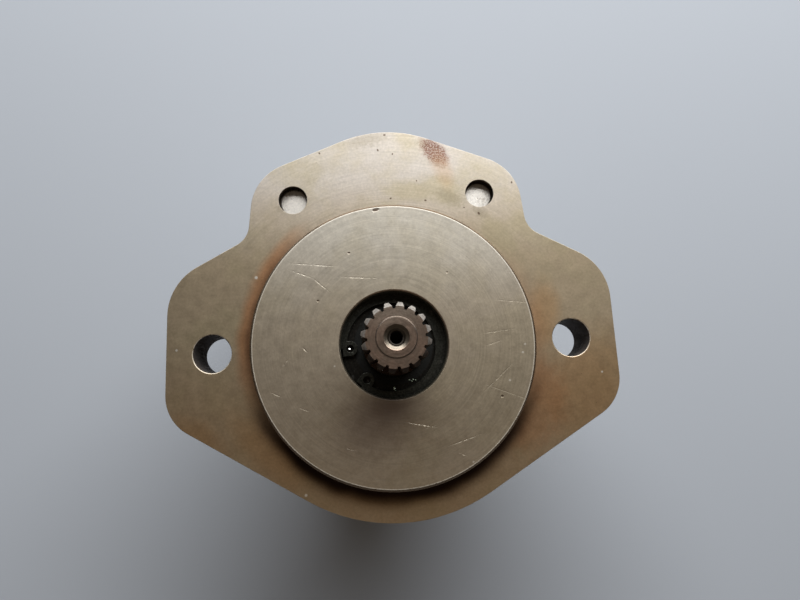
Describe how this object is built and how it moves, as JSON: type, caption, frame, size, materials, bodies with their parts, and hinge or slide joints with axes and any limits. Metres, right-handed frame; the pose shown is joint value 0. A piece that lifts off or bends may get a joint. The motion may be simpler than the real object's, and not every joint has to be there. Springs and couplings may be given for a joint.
{
  "type": "hydraulic gear pump",
  "caption": "External gear pump with a two-bolt pilot flange, splined drive shaft, meshing gears in bearing blocks and threaded side ports.",
  "frame": {"origin": "centre of the locating pilot on the flange's mounting face", "axes": "+Z out along the drive shaft, +Y from the drive shaft towards the idler gear, +X towards the outlet port"},
  "size_m": [0.1336, 0.1169, 0.1314],
  "materials": {
    "flange_iron": "machined, with a thin brown oil stain",
    "housing_aluminium": "as extruded, satin",
    "cover_iron": "as cast sides, machined faces",
    "shaft_steel": "turned, with hobbed spline",
    "gear_steel": "ground",
    "block_aluminium": "machined, oily",
    "bush_bronze": "bored",
    "seal_rubber": "oily black nitrile",
    "backup_plastic": "natural nylon",
    "seal_case_steel": "rubber-coated pressed steel",
    "spring_steel": "ground",
    "black_steel": "phosphated and oiled",
    "plated_steel": "bright zinc plate"
  },
  "bodies": {
    "housing": {"mounting_flange": "flange_iron", "gear_housing": "housing_aluminium", "rear_cover": "cover_iron", "front_bearing_block": "block_aluminium", "rear_bearing_block": "block_aluminium", "front_drive_bush": "bush_bronze", "front_idler_bush": "bush_bronze", "rear_drive_bush": "bush_bronze", "rear_idler_bush": "bush_bronze", "front_body_seal": "seal_rubber", "rear_body_seal": "seal_rubber", "front_pressure_seal": "seal_rubber", "rear_pressure_seal": "seal_rubber", "front_backup_ring": "backup_plastic", "rear_backup_ring": "backup_plastic", "shaft_seal_case": "seal_case_steel", "shaft_seal_lip": "seal_rubber", "seal_garter_spring": "spring_steel", "seal_retaining_ring": "black_steel", "dowel_pins": "spring_steel", "body_bolts": "plated_steel", "bolt_washers": "plated_steel"},
    "drive_shaft": {"drive_shaft": "shaft_steel"},
    "idler_gear": {"idler_gear": "gear_steel"}
  },
  "joints": [
    {"name": "shaft_spin", "type": "hinge", "parent": "housing", "child": "drive_shaft", "pos_m": [0, 0, 0], "axis": [0, 0, 1], "continuous": true},
    {"name": "idler_spin", "type": "hinge", "parent": "housing", "child": "idler_gear", "pos_m": [0, 0.034, 0], "axis": [0, 0, 1], "continuous": true}
  ],
  "couplings": [
    {"joint": "idler_spin", "follows": "shaft_spin", "ratio": -1}
  ]
}
